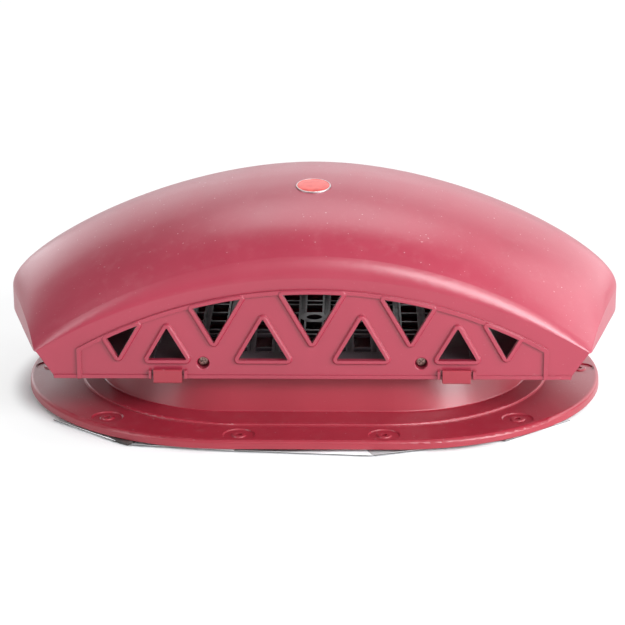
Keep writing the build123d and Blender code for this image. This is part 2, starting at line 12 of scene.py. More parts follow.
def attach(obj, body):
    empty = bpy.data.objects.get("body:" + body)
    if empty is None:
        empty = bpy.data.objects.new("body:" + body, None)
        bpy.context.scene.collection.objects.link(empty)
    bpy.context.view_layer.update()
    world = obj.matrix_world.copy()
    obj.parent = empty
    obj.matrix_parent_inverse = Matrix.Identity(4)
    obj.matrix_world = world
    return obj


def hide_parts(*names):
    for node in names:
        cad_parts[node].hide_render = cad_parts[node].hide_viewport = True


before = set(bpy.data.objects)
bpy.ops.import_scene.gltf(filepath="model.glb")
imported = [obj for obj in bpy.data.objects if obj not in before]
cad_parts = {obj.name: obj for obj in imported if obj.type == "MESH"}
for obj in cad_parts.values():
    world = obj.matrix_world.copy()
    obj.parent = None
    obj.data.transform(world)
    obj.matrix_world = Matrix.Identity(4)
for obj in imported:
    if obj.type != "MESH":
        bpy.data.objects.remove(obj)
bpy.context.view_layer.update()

LOG = logging.getLogger("roof_vent")
Colour = tuple[float, float, float]
Spot = tuple[float, float, float]
Band = tuple[float, float]
MM = 0.001
ORIGIN: Spot = (0.0, 0.0, 0.0)
EVEN: Spot = (1.0, 1.0, 1.0)
WHITE: Colour = (1.0, 1.0, 1.0)
NOISE_MIDDLE = 0.5
MIX_SHARE, MIX_FIRST, MIX_SECOND, MIX_RESULT = 0, 6, 7, 2
SMOOTH_BELOW = math.radians(35.0)
FACES_AWAY = 0.9


class Maths(Enum):
    """What a Math node does with its two values."""

    ADD = "ADD"
    SUBTRACT = "SUBTRACT"
    MULTIPLY = "MULTIPLY"
    MINIMUM = "MINIMUM"
    MAXIMUM = "MAXIMUM"


class Ray(Enum):
    """The kinds of ray that see the white surroundings, named as on the Light Path node."""

    CAMERA = "Is Camera Ray"
    GLOSSY = "Is Glossy Ray"
    TRANSMISSION = "Is Transmission Ray"


@dataclass(frozen=True)
class Pattern:
    """A noise over a surface.

    Its blotches have a size in mm and finer layers (detail) of some strength (rough). The noise
    is stretched times finer along each axis, after a turn in radians. Band is the range of its
    values that turns into 0 to 1 where it is used as patches.
    """

    size_mm: float
    detail: float
    stretch: Spot = EVEN
    turn: Spot = ORIGIN
    rough: float = 0.5
    band: Band = (0.0, 1.0)


class Wire:
    """One shader value. Python's operators on it add Math nodes to its recipe."""

    def __init__(self, recipe: "Recipe", socket: bpy.types.NodeSocket) -> None:
        """Wraps an output socket.

        Args:
            recipe: the node tree that the value belongs to.
            socket: the output socket that carries it.
        """
        self.recipe = recipe
        self.socket = socket

    def _math(self, operation: Maths, first: "Wire | float", second: "Wire | float") -> "Wire":
        """One Math node.

        Args:
            operation: what the node does.
            first: its first value.
            second: its second value.

        Returns:
            The value of the node.
        """
        settings = {"operation": operation.value}
        node = self.recipe.node("ShaderNodeMath", settings, {0: first, 1: second})
        return Wire(self.recipe, node.outputs[0])

    def __add__(self, other: "Wire | float") -> "Wire":
        """This value plus another."""
        return self._math(Maths.ADD, self, other)

    def __radd__(self, other: float) -> "Wire":
        """A number plus this value."""
        return self._math(Maths.ADD, other, self)

    def __sub__(self, other: "Wire | float") -> "Wire":
        """This value less another."""
        return self._math(Maths.SUBTRACT, self, other)

    def __rsub__(self, other: float) -> "Wire":
        """A number less this value."""
        return self._math(Maths.SUBTRACT, other, self)

    def __mul__(self, other: "Wire | float") -> "Wire":
        """This value times another."""
        return self._math(Maths.MULTIPLY, self, other)

    def __rmul__(self, other: float) -> "Wire":
        """A number times this value."""
        return self._math(Maths.MULTIPLY, other, self)

    def at_most(self, other: "Wire | float") -> "Wire":
        """The smaller of this value and another."""
        return self._math(Maths.MINIMUM, self, other)

    def at_least(self, other: "Wire | float") -> "Wire":
        """The larger of this value and another."""
        return self._math(Maths.MAXIMUM, self, other)

    def size(self) -> "Wire":
        """This value without its sign."""
        return self.at_least(self * -1.0)

    def step(self, low: float, high: float) -> "Wire":
        """A smooth step.

        Args:
            low: the value at which the step starts, as 0.
            high: the value at which it ends, as 1.

        Returns:
            0 to 1 over that range.
        """
        node = self.recipe.node(
            "ShaderNodeMapRange",
            {"interpolation_type": "SMOOTHSTEP"},
            {"Value": self, "From Min": low, "From Max": high},
        )
        return Wire(self.recipe, node.outputs[0])


class Recipe:
    """The node tree of a material, or of the world, while it is being made."""

    def __init__(self, owner: bpy.types.Material | bpy.types.World) -> None:
        """Empties the owner's node tree.

        Args:
            owner: the material or world that the tree belongs to.
        """
        owner.use_nodes = True
        self.owner = owner
        self.tree = owner.node_tree
        self.tree.nodes.clear()

    def node(self, kind: str, settings: dict | None = None,
             sockets: dict | None = None) -> bpy.types.Node:
        """Adds one node.

        Args:
            kind: the node's type.
            settings: its own settings, which are set first.
            sockets: a value, colour, Wire or output socket for each input, by name or number.

        Returns:
            The node.
        """
        node = self.tree.nodes.new(kind)
        for key, value in (settings or {}).items():
            setattr(node, key, value)
        for key, value in (sockets or {}).items():
            if isinstance(value, Wire):
                value = value.socket
            if isinstance(value, bpy.types.NodeSocket):
                self.tree.links.new(value, node.inputs[key])
            elif isinstance(value, tuple) and node.inputs[key].type == "RGBA":
                node.inputs[key].default_value = (*value, 1.0)
            else:
                node.inputs[key].default_value = value
        return node

    def noise(self, pattern: Pattern) -> Wire:
        """Noise over the surface, on Object coordinates.

        Args:
            pattern: its size, layers, stretch and turn.

        Returns:
            A value round 0.5.
        """
        coords = self.node("ShaderNodeTexCoord")
        mapping = self.node("ShaderNodeMapping", None, {
            "Vector": coords.outputs["Object"],
            "Scale": pattern.stretch,
            "Rotation": pattern.turn,
        })
        node = self.node("ShaderNodeTexNoise", None, {
            "Vector": mapping.outputs[0],
            "Scale": 1.0 / (pattern.size_mm * MM),
            "Detail": pattern.detail,
            "Roughness": pattern.rough,
        })
        return Wire(self, node.outputs[0])

    def patches(self, pattern: Pattern) -> Wire:
        """Noise that is stepped over its own band, 0 to 1."""
        return self.noise(pattern).step(*pattern.band)

    def axis(self, output: str, letter: str) -> Wire:
        """One part of a place or a normal.

        Args:
            output: "Position" or "Normal".
            letter: X, Y or Z.

        Returns:
            That part, in metres for a place.
        """
        geometry = self.node("ShaderNodeNewGeometry")
        parts = self.node("ShaderNodeSeparateXYZ", None, {0: geometry.outputs[output]})
        return Wire(self, parts.outputs[letter])

    def mix(self, share: Wire | float, first: Colour | bpy.types.NodeSocket,
            second: Colour | bpy.types.NodeSocket) -> bpy.types.NodeSocket:
        """Mixes two colours.

        Args:
            share: how much of the second.
            first: the first colour.
            second: the second colour.

        Returns:
            The mixed colour.
        """
        node = self.node(
            "ShaderNodeMix",
            {"data_type": "RGBA", "blend_type": "MIX", "clamp_factor": True},
            {MIX_SHARE: share, MIX_FIRST: first, MIX_SECOND: second},
        )
        return node.outputs[MIX_RESULT]

    def bump(self, height: Wire, depth_mm: float,
             under: bpy.types.NodeSocket | None = None) -> bpy.types.NodeSocket:
        """Relief too small to model.

        Args:
            height: the relief, 0 to 1.
            depth_mm: how deep it is.
            under: a normal that it lies on.

        Returns:
            The normal.
        """
        sockets = {"Height": height, "Distance": depth_mm * MM, "Strength": 1.0}
        if under is not None:
            sockets["Normal"] = under
        return self.node("ShaderNodeBump", None, sockets).outputs[0]

    def surface(self, **sockets: Wire | float | Colour | bpy.types.NodeSocket
                ) -> bpy.types.Material:
        """Ends the recipe with one surface shader.

        Args:
            sockets: its inputs, with an underscore for each space in a name.

        Returns:
            The material.
        """
        named = {key.replace("_", " "): value for key, value in sockets.items()}
        shader = self.node("ShaderNodeBsdfPrincipled", None, named)
        self.node("ShaderNodeOutputMaterial", None, {"Surface": shader.outputs[0]})
        return self.owner


@dataclass(frozen=True)
class MouldedPlastic:
    """Injection-moulded plastic with a satin grain, faint flow marks, scuffs, lint and dust on
    upward faces; at a large share that dust is also painted light on those faces.
    """

    name: str
    colour: Colour
    deep: Colour
    dust: Colour = (0.62, 0.42, 0.42)
    dust_share: float = 0.05
    roughness: float = 0.34
    specular: float = 0.8
    cloud: Pattern = Pattern(120.0, 3.0, band=(0.3, 0.7))
    cloud_share: float = 0.5
    flow: Pattern = Pattern(26.0, 3.0, (1.0, 0.35, 0.6), (0.1, 0.0, 0.3), band=(0.35, 0.65))
    flow_share: float = 0.35
    flow_rough: float = 0.10
    speck: Pattern = Pattern(1.6, 2.0)
    speck_share: float = 0.15
    grain: Pattern = Pattern(0.55, 2.0)
    grain_depth: float = 0.010
    grain_rough: float = 0.16
    wave: Pattern = Pattern(38.0, 1.0)
    wave_depth: float = 0.10
    facing_up: Band = (0.35, 1.0)
    film: Pattern = Pattern(9.0, 6.0, rough=0.7, band=(0.48, 0.72))
    scuff: Pattern = Pattern(2.4, 2.0, (1.0, 14.0, 1.0), (0.0, 0.0, 0.5), band=(0.69, 0.76))
    scuffed: Band = (0.45, 0.6)
    scuff_share: float = 0.10
    scuff_rough: float = 0.12
    lint: Pattern = Pattern(1.5, 0.0, band=(0.83, 0.86))
    lint_colour: Colour = (0.85, 0.80, 0.80)
    lint_share: float = 0.35
    edge_mm: float = 0.5
    edge_samples: int = 4

    def make(self) -> bpy.types.Material:
        """Builds the material.

        Returns:
            The plastic.
        """
        r = Recipe(bpy.data.materials.new(self.name))
        cloud = r.noise(self.cloud)
        flow = r.noise(self.flow)
        speck = r.noise(self.speck)
        grain = r.noise(self.grain)
        tone = (
            cloud.step(*self.cloud.band) * self.cloud_share
            + flow.step(*self.flow.band) * self.flow_share
            + speck * self.speck_share
        ).at_most(1.0)
        colour = r.mix(tone, self.deep, self.colour)
        # dust on faces that look up; a large share, as on the grille, also paints light onto
        # those upward faces
        up = r.axis("Normal", "Z").step(*self.facing_up)
        dust_and_top_light = up * r.patches(self.film) * self.dust_share
        colour = r.mix(dust_and_top_light, colour, self.dust)
        scuff = r.patches(self.scuff) * cloud.step(*self.scuffed)
        colour = r.mix(scuff * self.scuff_share, colour, self.dust)
        lint = r.patches(self.lint) * up * self.lint_share
        colour = r.mix(lint, colour, self.lint_colour)
        rough = (
            self.roughness + (grain - NOISE_MIDDLE) * self.grain_rough
            + (flow - NOISE_MIDDLE) * self.flow_rough + scuff * self.scuff_rough + dust_and_top_light
        )
        edge = r.node(
            "ShaderNodeBevel", {"samples": self.edge_samples}, {"Radius": self.edge_mm * MM})
        waves = r.bump(r.noise(self.wave), self.wave_depth, edge.outputs[0])
        relief = r.bump(grain, self.grain_depth, waves)
        return r.surface(Base_Color=colour, Roughness=rough, Normal=relief,
                         Specular_IOR_Level=self.specular, IOR=1.5)


@dataclass(frozen=True)
class ButylRubber:
    """Tacky black butyl with a skin of fine wrinkles and finger dents."""

    name: str = "butyl_rubber"
    colour: Colour = (0.020, 0.017, 0.017)
    worn: Colour = (0.115, 0.085, 0.080)
    dents: Pattern = Pattern(7.0, 2.0, band=(0.45, 0.75))
    dent_share: float = 0.5
    dent_depth: float = 0.5
    skin: Pattern = Pattern(0.9, 4.0, rough=0.6)
    skin_share: float = 0.2
    skin_depth: float = 0.12
    skin_rough: float = 0.3
    roughness: float = 0.38

    def make(self) -> bpy.types.Material:
        """Builds the material.

        Returns:
            The butyl.
        """
        r = Recipe(bpy.data.materials.new(self.name))
        dents = r.noise(self.dents)
        skin = r.noise(self.skin)
        wear = dents.step(*self.dents.band)
        share = wear * self.dent_share + skin * self.skin_share
        colour = r.mix(share, self.colour, self.worn)
        relief = r.bump(skin, self.skin_depth, r.bump(dents, self.dent_depth))
        rough = self.roughness + skin * self.skin_rough
        return r.surface(Base_Color=colour, Roughness=rough, Normal=relief)


@dataclass(frozen=True)
class ReleasePaper:
    """White silicone-coated paper, faintly creased, with fine fibres, and a painted shadow: its
    cut edges are coloured near black.
    """

    name: str = "release_paper"
    colour: Colour = (0.86, 0.86, 0.87)
    shade: Colour = (0.70, 0.69, 0.70)
    # painted shadow: the near-black colour of the upright cut edges stands in for the shadow
    # line under the paper's lifted outer edge
    cut: Colour = (0.05, 0.045, 0.045)
    fibres: Pattern = Pattern(1.1, 5.0, (1.0, 3.0, 1.0), rough=0.7, band=(0.3, 0.9))
    fibre_share: float = 0.4
    fibre_depth: float = 0.02
    fibre_rough: float = 0.2
    creases: Pattern = Pattern(14.0, 1.0, (1.0, 0.4, 1.0), (0.0, 0.0, 0.7))
    crease_depth: float = 0.35
    lying: Band = (0.3, 0.7)
    roughness: float = 0.42

    def make(self) -> bpy.types.Material:
        """Builds the material.

        Returns:
            The paper.
        """
        r = Recipe(bpy.data.materials.new(self.name))
        fibres = r.noise(self.fibres)
        creases = r.noise(self.creases)
        share = fibres.step(*self.fibres.band) * self.fibre_share
        colour = r.mix(share, self.colour, self.shade)
        # painted shadow: faces that stand upright, the cut edges, take the near-black cut
        # colour
        edge = 1.0 - r.axis("Normal", "Z").size().step(*self.lying)
        colour = r.mix(edge, colour, self.cut)
        relief = r.bump(fibres, self.fibre_depth, r.bump(creases, self.crease_depth))
        rough = self.roughness + fibres * self.fibre_rough
        return r.surface(Base_Color=colour, Roughness=rough, Normal=relief)


@dataclass(frozen=True)
class BadgeResin:
    """Glossy doming resin over a plain red print."""

    name: str = "badge_resin"
    colour: Colour = (0.64, 0.075, 0.062)
    deep: Colour = (0.52, 0.050, 0.042)
    tone: Pattern = Pattern(5.0, 2.0, band=(0.3, 0.7))
    tone_rough: float = 0.06
    tone_depth: float = 0.03
    dust: Pattern = Pattern(0.5, 3.0, band=(0.66, 0.8))
    dust_colour: Colour = (0.7, 0.6, 0.6)
    dust_share: float = 0.15
    dust_rough: float = 0.2
    roughness: float = 0.14
    coat: float = 0.1

    def make(self) -> bpy.types.Material:
        """Builds the material.

        Returns:
            The resin.
        """
        r = Recipe(bpy.data.materials.new(self.name))
        tone = r.noise(self.tone)
        dust = r.patches(self.dust)
        colour = r.mix(tone.step(*self.tone.band), self.deep, self.colour)
        colour = r.mix(dust * self.dust_share, colour, self.dust_colour)
        rough = self.roughness + tone * self.tone_rough + dust * self.dust_rough
        return r.surface(Base_Color=colour, Roughness=rough,
                         Normal=r.bump(tone, self.tone_depth), Coat_Weight=self.coat)


@dataclass(frozen=True)
class PlatedSteel:
    """Plated steel, finely brushed and a little dull."""

    name: str = "plated_steel"
    colour: Colour = (0.42, 0.27, 0.24)
    dull: Colour = (0.15, 0.09, 0.08)
    patch: Pattern = Pattern(1.8, 4.0, band=(0.4, 0.7))
    patch_rough: float = 0.25
    brushing: Pattern = Pattern(0.35, 2.0, (1.0, 8.0, 1.0))
    brush_depth: float = 0.01
    roughness: float = 0.25

    def make(self) -> bpy.types.Material:
        """Builds the material.

        Returns:
            The steel.
        """
        r = Recipe(bpy.data.materials.new(self.name))
        patch = r.noise(self.patch)
        brushed = r.noise(self.brushing)
        colour = r.mix(patch.step(*self.patch.band), self.colour, self.dull)
        rough = self.roughness + patch * self.patch_rough
        return r.surface(Base_Color=colour, Metallic=1.0, Roughness=rough,
                         Normal=r.bump(brushed, self.brush_depth))


HOOD_PLASTIC = MouldedPlastic("hood_plastic", (0.300, 0.020, 0.046), (0.272, 0.017, 0.040))
BASE_PLASTIC = MouldedPlastic(
    "base_plastic", (0.290, 0.017, 0.033), (0.255, 0.014, 0.028),
    dust_share=0.04, roughness=0.32, specular=0.65,
)
# the grille's large dust share is partly painted light: it lightens the upward faces of its
# bars
GRILLE_PLASTIC = MouldedPlastic(
    "grille_plastic", (0.058, 0.043, 0.053), (0.036, 0.027, 0.033), dust=(0.26, 0.20, 0.23),
    dust_share=0.26, roughness=0.36, grain=Pattern(0.8, 2.0), edge_mm=0.3,
)
BUTYL = ButylRubber()
PAPER = ReleasePaper()
RESIN = BadgeResin()
STEEL = PlatedSteel()
# painted highlight: the badge's rim is given a pale metal that stands in for the highlight
# along the edge of the resin dome
PALE_RIM_PAINTED_HIGHLIGHT = PlatedSteel("badge_rim_painted_highlight", (0.62, 0.56, 0.56), (0.46, 0.40, 0.40))


class Workpiece:
    """A new piece while it is shaped with edit-mode operators, from one primitive."""

    def __init__(self, name: str) -> None:
        """Takes the primitive that was added last into edit mode.

        Args:
            name: the piece's name.
        """
        self.piece = bpy.context.object
        self.piece.name = name
        bpy.ops.object.mode_set(mode="EDIT")
        bpy.ops.mesh.select_mode(type="FACE")

    def pick(self, test: Callable[[Vector], bool]) -> "Workpiece":
        """Selects faces.

        Args:
            test: says from a face's normal whether it is wanted.

        Returns:
            This piece.
        """
        bpy.ops.mesh.select_all(action="DESELECT")
        mesh = bmesh.from_edit_mesh(self.piece.data)
        for face in mesh.faces:
            face.select_set(test(face.normal))
        bmesh.update_edit_mesh(self.piece.data)
        return self

    def pick_front_edge(self) -> "Workpiece":
        """Selects the edge that lies furthest towards -Y.

        Returns:
            This piece.
        """
        bpy.ops.mesh.select_mode(type="EDGE")
        bpy.ops.mesh.select_all(action="DESELECT")
        mesh = bmesh.from_edit_mesh(self.piece.data)
        furthest = min(vertex.co.y for vertex in mesh.verts) + 0.01 * MM
        for edge in mesh.edges:
            if all(vertex.co.y < furthest for vertex in edge.verts):
                edge.select_set(True)
        bmesh.update_edit_mesh(self.piece.data)
        return self

    def inset(self, width_mm: float, rise_mm: float = 0.0) -> "Workpiece":
        """Insets the selected faces and moves them out by rise_mm."""
        bpy.ops.mesh.inset(thickness=width_mm * MM, depth=rise_mm * MM)
        return self

    def extrude(self, run_mm: Spot) -> "Workpiece":
        """Extrudes what is selected by run_mm."""
        run = tuple(part * MM for part in run_mm)
        bpy.ops.mesh.extrude_region_move(TRANSFORM_OT_translate={"value": run})
        return self

    def bevel(self, width_mm: float, steps: int) -> "Workpiece":
        """Bevels the edges of the selected faces."""
        bpy.ops.mesh.bevel(offset=width_mm * MM, segments=steps, affect="EDGES")
        return self

    def done(self) -> bpy.types.Object:
        """Leaves edit mode and shades the shallow turns smooth.

        Returns:
            The piece.
        """
        bpy.ops.object.mode_set(mode="OBJECT")
        bpy.ops.object.shade_smooth_by_angle(angle=SMOOTH_BELOW)
        return self.piece


def cylinder(name: str, radius_mm: float, height_mm: float, sides: int) -> Workpiece:
    """An upright cylinder that stands on the origin.

    Args:
        name: its name.
        radius_mm: its radius.
        height_mm: its height.
        sides: how many sides it has.

    Returns:
        The piece in edit mode.
    """
    bpy.ops.object.select_all(action="DESELECT")
    bpy.ops.mesh.primitive_cylinder_add(
        vertices=sides, radius=radius_mm * MM, depth=height_mm * MM, location=ORIGIN)
    work = Workpiece(name)
    bpy.ops.mesh.select_all(action="SELECT")
    bpy.ops.transform.translate(value=(0.0, 0.0, height_mm * MM / 2))
    return work


def middle_of(spots: list[Vector]) -> Vector:
    """The middle of the box round some points."""
    return (Vector(map(min, zip(*spots))) + Vector(map(max, zip(*spots)))) / 2


def at(piece: bpy.types.Object, place: Matrix) -> bpy.types.Object:
    """Puts a finished mesh in its place, with its object left at the origin.

    Args:
        piece: the piece.
        place: where it goes.

    Returns:
        The piece.
    """
    piece.data.transform(place)
    piece.data.update()
    return piece


def dress(piece: bpy.types.Object, *materials: bpy.types.Material) -> None:
    """Gives a piece its materials, the first of them all over.

    Args:
        piece: the piece.
        materials: its finishes.
    """
    piece.data.materials.clear()
    for material in materials:
        piece.data.materials.append(material)


@dataclass
class Hood:
    """The hood moulding."""

    def build(self) -> list[str]:
        """Dresses the moulding.

        Returns:
            Its name.
        """
        dress(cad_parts["hood"], HOOD_PLASTIC.make())
        return ["hood"]


@dataclass
class Badge:
    """The round badge on the crown: a rim round a blank domed face, the rim coloured pale as a
    painted highlight along the dome's edge.
    """

    body: str = "root"
    sides: int = 96
    edge_round: float = 0.22
    edge_steps: int = 3
    rim: float = 0.5
    wall: float = 0.12
    dip: float = 0.2
    crown: tuple[tuple[float, float], ...] = ((1.6, 0.12), (2.4, 0.07), (3.2, 0.03))
    flat_within: float = 0.2

    def build(self) -> list[str]:
        """Models the badge in place of its node.

        Returns:
            Its name.
        """
        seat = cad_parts["badge"].data
        top = [face for face in seat.polygons if face.normal.z > FACES_AWAY]
        normal = sum((face.normal * face.area for face in top), Vector()).normalized()
        levels = [normal.dot(vertex.co) for vertex in seat.vertices]
        height = (max(levels) - min(levels)) / MM
        flat = [vertex.co for vertex, level in zip(seat.vertices, levels)
                if level > max(levels) - self.flat_within * MM]
        centre = middle_of(flat)
        radius = max((spot - centre).length for spot in flat) / MM
        piece = self._plate(radius, height)
        turn = normal.to_track_quat("Z", "Y").to_matrix().to_4x4()
        at(piece, Matrix.Translation(centre - normal * height * MM) @ turn)
        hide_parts("badge")
        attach(piece, self.body)
        return [piece.name]

    def _plate(self, radius: float, height: float) -> bpy.types.Object:
        """The plate, standing on the origin.

        Args:
            radius: its radius in mm.
            height: the height of its rim in mm.

        Returns:
            The plate.
        """
        plate = cylinder("badge_plate", radius, height, self.sides)
        plate.pick(lambda normal: normal.z > FACES_AWAY).bevel(self.edge_round, self.edge_steps)
        plate.pick(lambda normal: normal.z > 0.99)
        plate.inset(self.rim).inset(self.wall, -self.dip)
        for width, rise in self.crown:
            plate.inset(width, rise)
        piece = plate.done()
        dress(piece, RESIN.make(), PALE_RIM_PAINTED_HIGHLIGHT.make())
        # the rim's faces take the pale material, a painted highlight
        for face in piece.data.polygons:
            if math.hypot(face.center.x, face.center.y) > (radius - self.rim) * MM:
                face.material_index = 1
        return piece


@dataclass
class Screws:
    """The four pan-head screws with a cross recess at the bottom of the hood's pockets."""

    body: str = "root"
    sides: int = 48
    head_round: float = 0.9
    head_steps: int = 4
    shank_r: float = 2.0
    shank_reach: float = 2.2
    point: float = 0.8
    point_inset: float = 0.9
    cross_reach: float = 2.1
    cross_half: float = 0.42
    cross_deep: float = 1.3
    cutter_half: float = 1.0
    head_within: float = 0.1
    first_turn: float = 17.0
    next_turn: float = 31.0
    corners: tuple[tuple[int, int], ...] = ((-1, -1), (1, -1), (-1, 1), (1, 1))

    def build(self) -> list[str]:
        """Models one screw and puts a copy in each pocket.

        Returns:
            The names of the screws.
        """
        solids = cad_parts["hood_screws"].data.vertices
        right = [spot.co for spot in solids if spot.co.x > 0 and spot.co.y < 0]
        front = min(spot.y for spot in right)
        back = max(spot.y for spot in right)
        head = [spot for spot in right if spot.y < front + self.head_within * MM]
        centre = middle_of(head)
        radius = (max(spot.x for spot in head) - centre.x) / MM
        under = min(spot.y for spot in right if spot.y > front + MM
                    and abs(spot.x - centre.x) < self.shank_reach * MM)
        master = self._model(radius, (under - front) / MM, (back - under) / MM)
        names = []
        for index, (side_x, side_y) in enumerate(self.corners):
            screw = master.copy()
            screw.data = master.data.copy()
            screw.name = "hood_screw_%d" % (index + 1)
            bpy.context.scene.collection.objects.link(screw)
            turn = Matrix.Rotation(math.radians(-90.0 * side_y), 4, "X")
            spin = Matrix.Rotation(
                math.radians(self.first_turn + self.next_turn * index), 4, "Z")
            place = Matrix.Translation((side_x * centre.x, side_y * -under, centre.z))
            at(screw, place @ turn @ spin)
            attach(screw, self.body)
            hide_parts("hood_screws")
            names.append(screw.name)
        bpy.data.objects.remove(master)
        return names

    def _model(self, radius: float, tall: float, shank: float) -> bpy.types.Object:
        """One screw, its head standing on the origin and its shank below.

        Args:
            radius: the head's radius in mm.
            tall: the head's height in mm.
            shank: the length of the shank in mm.

        Returns:
            The screw.
        """
        work = cylinder("screw_master", radius, tall, self.sides)
        work.pick(lambda normal: normal.z > FACES_AWAY).bevel(self.head_round, self.head_steps)
        work.pick(lambda normal: normal.z < -FACES_AWAY).inset(radius - self.shank_r)
        work.extrude((0.0, 0.0, self.point - shank)).inset(self.point_inset, self.point)
        screw = work.done()
        self._cross(screw, tall)
        dress(screw, STEEL.make())
        return screw

    def _cross(self, head: bpy.types.Object, tall: float) -> None:
        """Cuts the cross recess into a screw's head.

        Args:
            head: the screw.
            tall: the height of its head in mm.
        """
        centre = (0.0, 0.0, (tall + self.cutter_half - self.cross_deep) * MM)
        for turn in (0.0, 90.0):
            bpy.ops.object.select_all(action="DESELECT")
            bpy.ops.mesh.primitive_cube_add(size=2 * self.cutter_half * MM, location=centre)
            cutter = bpy.context.object
            cutter.scale = (self.cross_reach, self.cross_half, 1.0)
            cutter.rotation_euler = (0.0, 0.0, math.radians(turn))
            bpy.ops.object.transform_apply(location=True, rotation=True, scale=True)
            cut = head.modifiers.new("cross", "BOOLEAN")
            cut.operation = "DIFFERENCE"
            cut.solver = "EXACT"
            cut.object = cutter
            bpy.ops.object.select_all(action="DESELECT")
            bpy.context.view_layer.objects.active = head
            head.select_set(True)
            bpy.ops.object.modifier_apply(modifier=cut.name)
            bpy.data.objects.remove(cutter)


@dataclass
class Base:
    """The base flange and the grille in its collar."""

    def build(self) -> list[str]:
        """Dresses the base's pieces.

        Returns:
            The names of the pieces.
        """
        dress(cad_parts["base_flange"], BASE_PLASTIC.make())
        dress(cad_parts["grille"], GRILLE_PLASTIC.make())
        return ["base_flange", "grille"]


@dataclass
class Underside:
    """The butyl seal and the release paper under it, whose outer edge curls up a little."""

    body: str = "root"
    layer: float = 0.3
    thick: float = 0.6
    width: float = 30.0
    side_half: float = 50.0
    side_x: float = 199.0
    curl: tuple[tuple[float, float], ...] = ((2.0, 0.15), (2.0, 0.45), (2.0, 0.85))
    strips: dict[str, tuple[Spot, Spot]] = field(default_factory=lambda: {
        "left_end": ((-182.0, -93.5, 0.0), (-135.0, -134.0, 0.0)),
        "left": ((-123.5, -141.5, 0.3), (-52.5, -152.5, 0.3)),
        "middle": ((-52.0, -151.5, 0.0), (42.0, -159.5, 0.0)),
        "right": ((42.5, -159.5, 0.3), (131.0, -131.0, 0.3)),
        "right_end": ((133.5, -131.0, 0.0), (180.5, -90.5, 0.0)),
    })

    def build(self) -> list[str]:
        """Dresses the seal and builds the papers.

        Returns:
            The names of the pieces.
        """
        dress(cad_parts["butyl_seal"], BUTYL.make())
        paper = PAPER.make()
        half_turn = Matrix.Rotation(math.pi, 4, "Z")
        names = ["butyl_seal"]
        for place, (start, finish) in self.strips.items():
            for side, turn in (("front", Matrix.Identity(4)), ("back", half_turn)):
                names.append(self._strip("%s_%s" % (side, place), start, finish, turn, paper))
        start = (self.side_x, -self.side_half, self.layer)
        finish = (self.side_x, self.side_half, self.layer)
        names.append(self._strip("right_side", start, finish, Matrix.Identity(4), paper))
        names.append(self._strip("left_side", start, finish, half_turn, paper))
        return names

    def _sheet(self, name: str, length: float) -> bpy.types.Object:
        """One sheet, with the inner edge of its curl half its flat part in front of the origin.

        Args:
            name: its name.
            length: its length along X in mm.

        Returns:
            The sheet.
        """
        bpy.ops.object.select_all(action="DESELECT")
        bpy.ops.mesh.primitive_plane_add(size=MM, location=ORIGIN)
        bpy.context.object.scale = (length, self._flat(), 1.0)
        bpy.ops.object.transform_apply(location=False, rotation=False, scale=True)
        work = Workpiece(name)
        for out, up in self.curl:
            work.pick_front_edge().extrude((0.0, -out, up))
        bpy.ops.mesh.select_all(action="SELECT")
        bpy.ops.mesh.normals_make_consistent(inside=False)
        piece = work.done()
        if piece.data.polygons[0].normal.z < 0:
            piece.data.flip_normals()
        solid = piece.modifiers.new("thick", "SOLIDIFY")
        solid.thickness = self.thick * MM
        solid.offset = 1.0
        bpy.ops.object.modifier_apply(modifier=solid.name)
        return piece

    def _flat(self) -> float:
        """The width of a strip's flat part, in mm."""
        return self.width - sum(out for out, _ in self.curl)

    def _strip(self, place: str, start: Spot, finish: Spot, turn: Matrix,
               paper: bpy.types.Material) -> str:
        """One strip of paper under the seal.

        Args:
            place: where it lies, as its CAD node is named.
            start: one end of its outer edge, in mm.
            finish: the other end.
            turn: the turn that brings it to its side of the vent.
            paper: its finish.

        Returns:
            Its name.
        """
        run = Vector(finish) - Vector(start)
        piece = self._sheet("paper_" + place, run.length)
        dress(piece, paper)
        middle = Matrix.Translation((Vector(start) + run / 2) * MM)
        along = Matrix.Rotation(math.atan2(run.y, run.x), 4, "Z")
        inwards = Matrix.Translation((0.0, (self.width - self._flat() / 2) * MM, 0.0))
        at(piece, turn @ middle @ along @ inwards)
        node = "release_paper_" + place
        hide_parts(node)
        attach(piece, self.body)
        return piece.name


@dataclass(frozen=True)
class Softbox:
    """One large soft lamp that points at a spot."""

    name: str
    place: Spot
    width: float
    height: float
    watts: float
    colour: Colour = (0.97, 0.98, 1.0)
    aim: Spot = (0.0, 0.0, 0.06)

    def hang(self) -> None:
        """Puts the lamp in the scene."""
        data = bpy.data.lights.new(self.name, "AREA")
        data.shape = "RECTANGLE"
        data.size = self.width
        data.size_y = self.height
        data.energy = self.watts
        data.color = self.colour
        lamp = bpy.data.objects.new(self.name, data)
        away = Vector(self.place) - Vector(self.aim)
        turn = away.to_track_quat("Z", "Y").to_matrix().to_4x4()
        lamp.matrix_world = Matrix.Translation(self.place) @ turn
        lamp.visible_camera = False
        bpy.context.scene.collection.objects.link(lamp)


